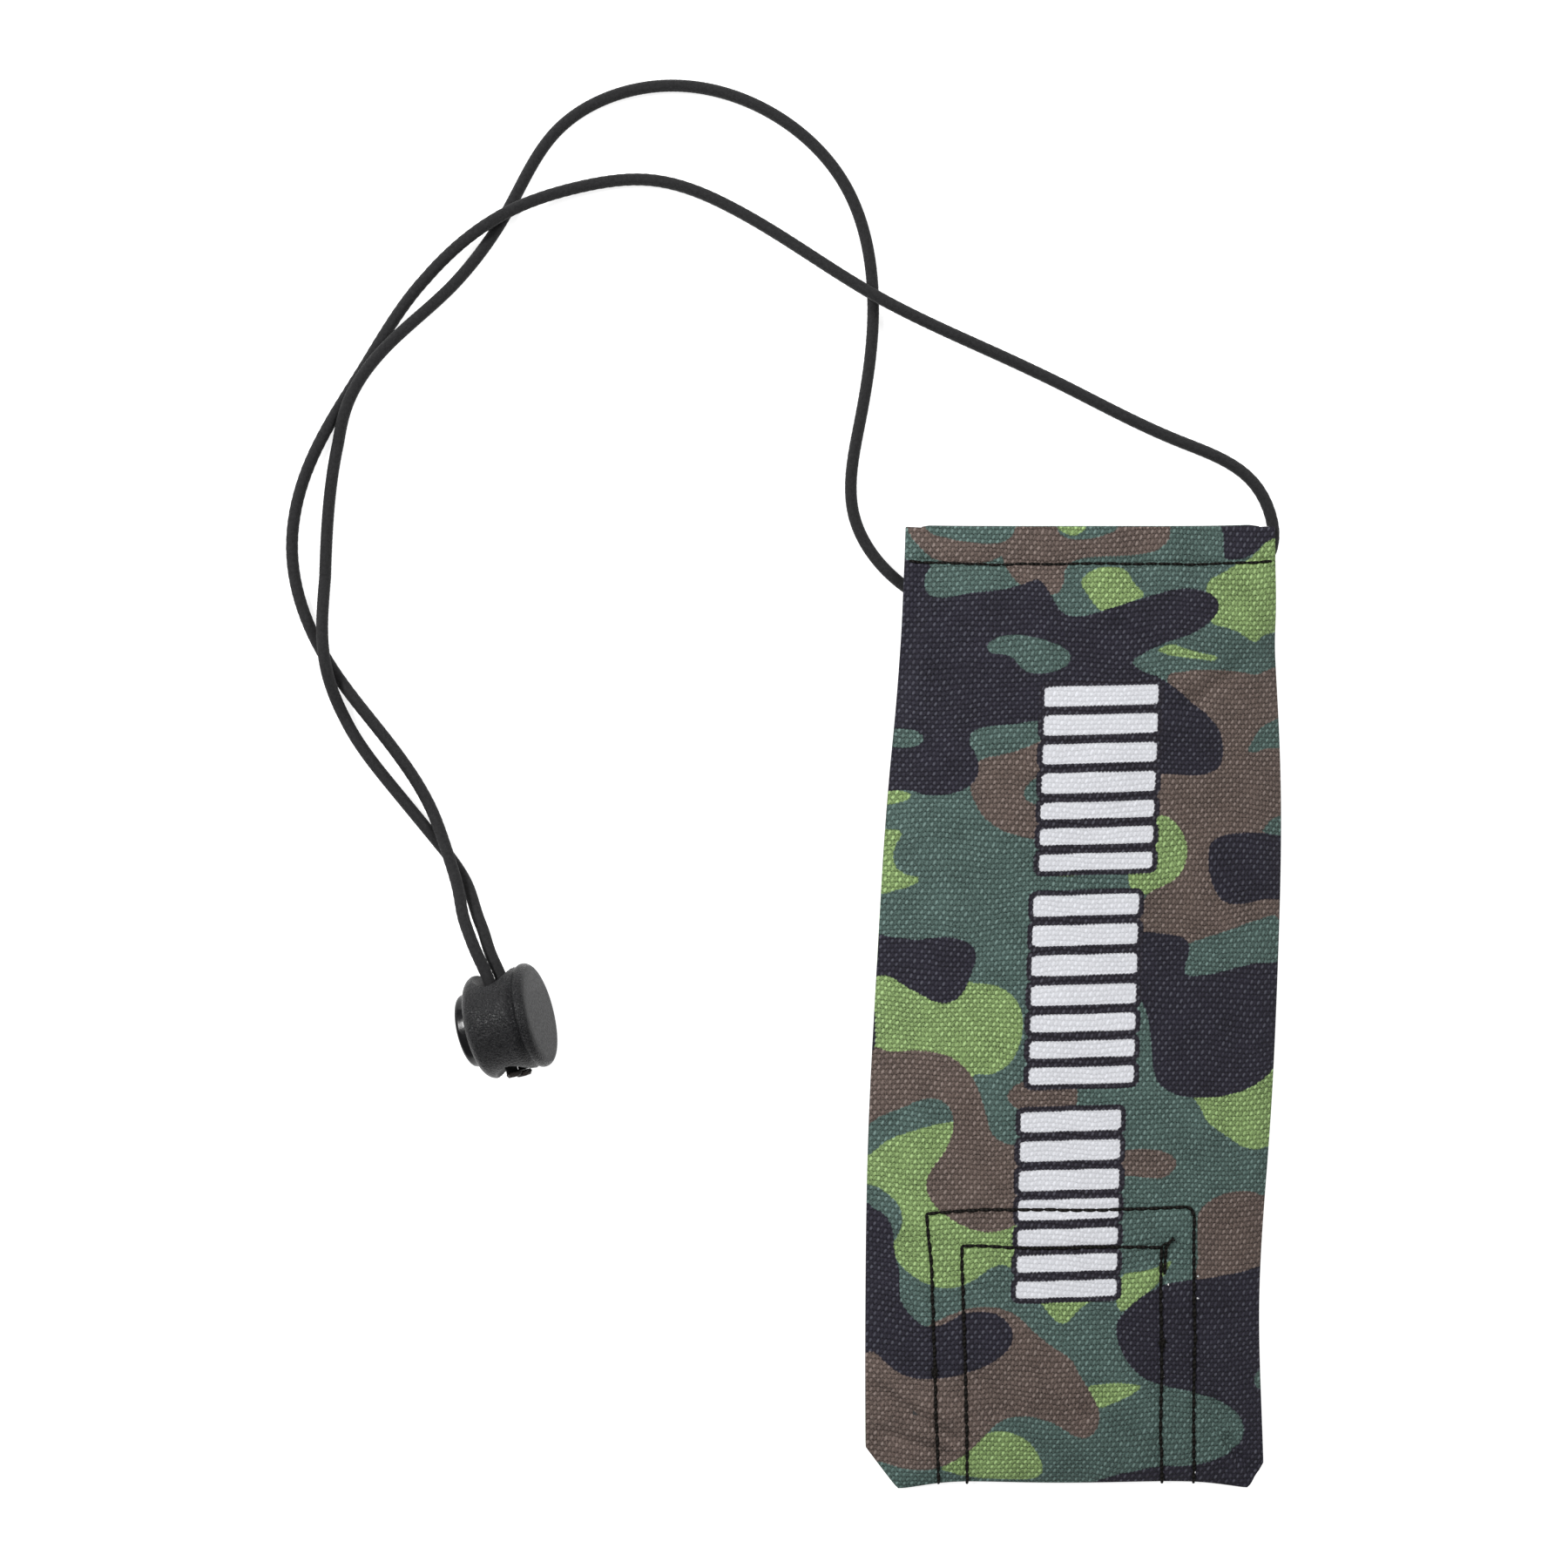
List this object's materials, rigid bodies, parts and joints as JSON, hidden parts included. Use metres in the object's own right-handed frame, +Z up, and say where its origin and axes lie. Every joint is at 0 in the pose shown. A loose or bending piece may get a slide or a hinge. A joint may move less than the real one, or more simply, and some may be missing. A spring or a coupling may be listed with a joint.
{
  "type": "drawcord barrel sleeve",
  "caption": "Flat camouflage fabric sleeve, closed at the tip with a stitched reinforcing patch, on a long elastic cord loop with a sprung cord lock.",
  "frame": {"origin": "on the floor, under the middle of the sleeve's outline", "axes": "+Y along the sleeve towards its mouth, +Z up out of its front, +X to the right as its front is seen from above"},
  "size_m": [0.199, 0.2814, 0.0223],
  "materials": {
    "camouflage_fabric": "coarse plain weave, printed in teal green, brown, pale green and near black",
    "hem_fabric": "the same weave, folded inside",
    "thread": "black bonded thread",
    "patch_fabric": "dense black weave",
    "webbing": "black ribbed webbing",
    "shock_cord": "black braided cover over rubber strands",
    "sealed_end": "melted dark brown",
    "textured_plastic": "fine moulded grain, charcoal",
    "gloss_plastic": "smooth black",
    "spring_steel": "drawn wire"
  },
  "bodies": {
    "sleeve": {"front_panel": "camouflage_fabric", "back_panel": "camouflage_fabric", "front_hem": "hem_fabric", "back_hem": "hem_fabric", "impact_patch": "patch_fabric", "hem_stitch_front": "thread", "hem_stitch_back": "thread", "left_seam_stitch": "thread", "right_seam_stitch": "thread", "bottom_seam_stitch": "thread", "patch_stitch_outer": "thread", "patch_stitch_inner": "thread", "cord_keeper": "webbing", "keeper_bartack_upper": "thread", "keeper_bartack_lower": "thread", "shock_cord": "shock_cord", "cord_seal_first": "sealed_end", "cord_seal_second": "sealed_end"},
    "cord_lock": {"lock_housing": "textured_plastic", "lock_spring": "spring_steel"},
    "plunger": {"lock_plunger": "gloss_plastic"}
  },
  "joints": [
    {"name": "lock_slide", "type": "slide", "parent": "sleeve", "child": "cord_lock", "axis": [-0.2521, 0.9677, 0], "range_m": [0, 0.004]},
    {"name": "plunger_press", "type": "slide", "parent": "cord_lock", "child": "plunger", "axis": [0.9544, 0.2486, 0.165], "range_m": [0, 0.0016], "stiffness_N_per_m": 2500, "springref_m": -0.0012, "deforming": ["lock_spring"]}
  ]
}
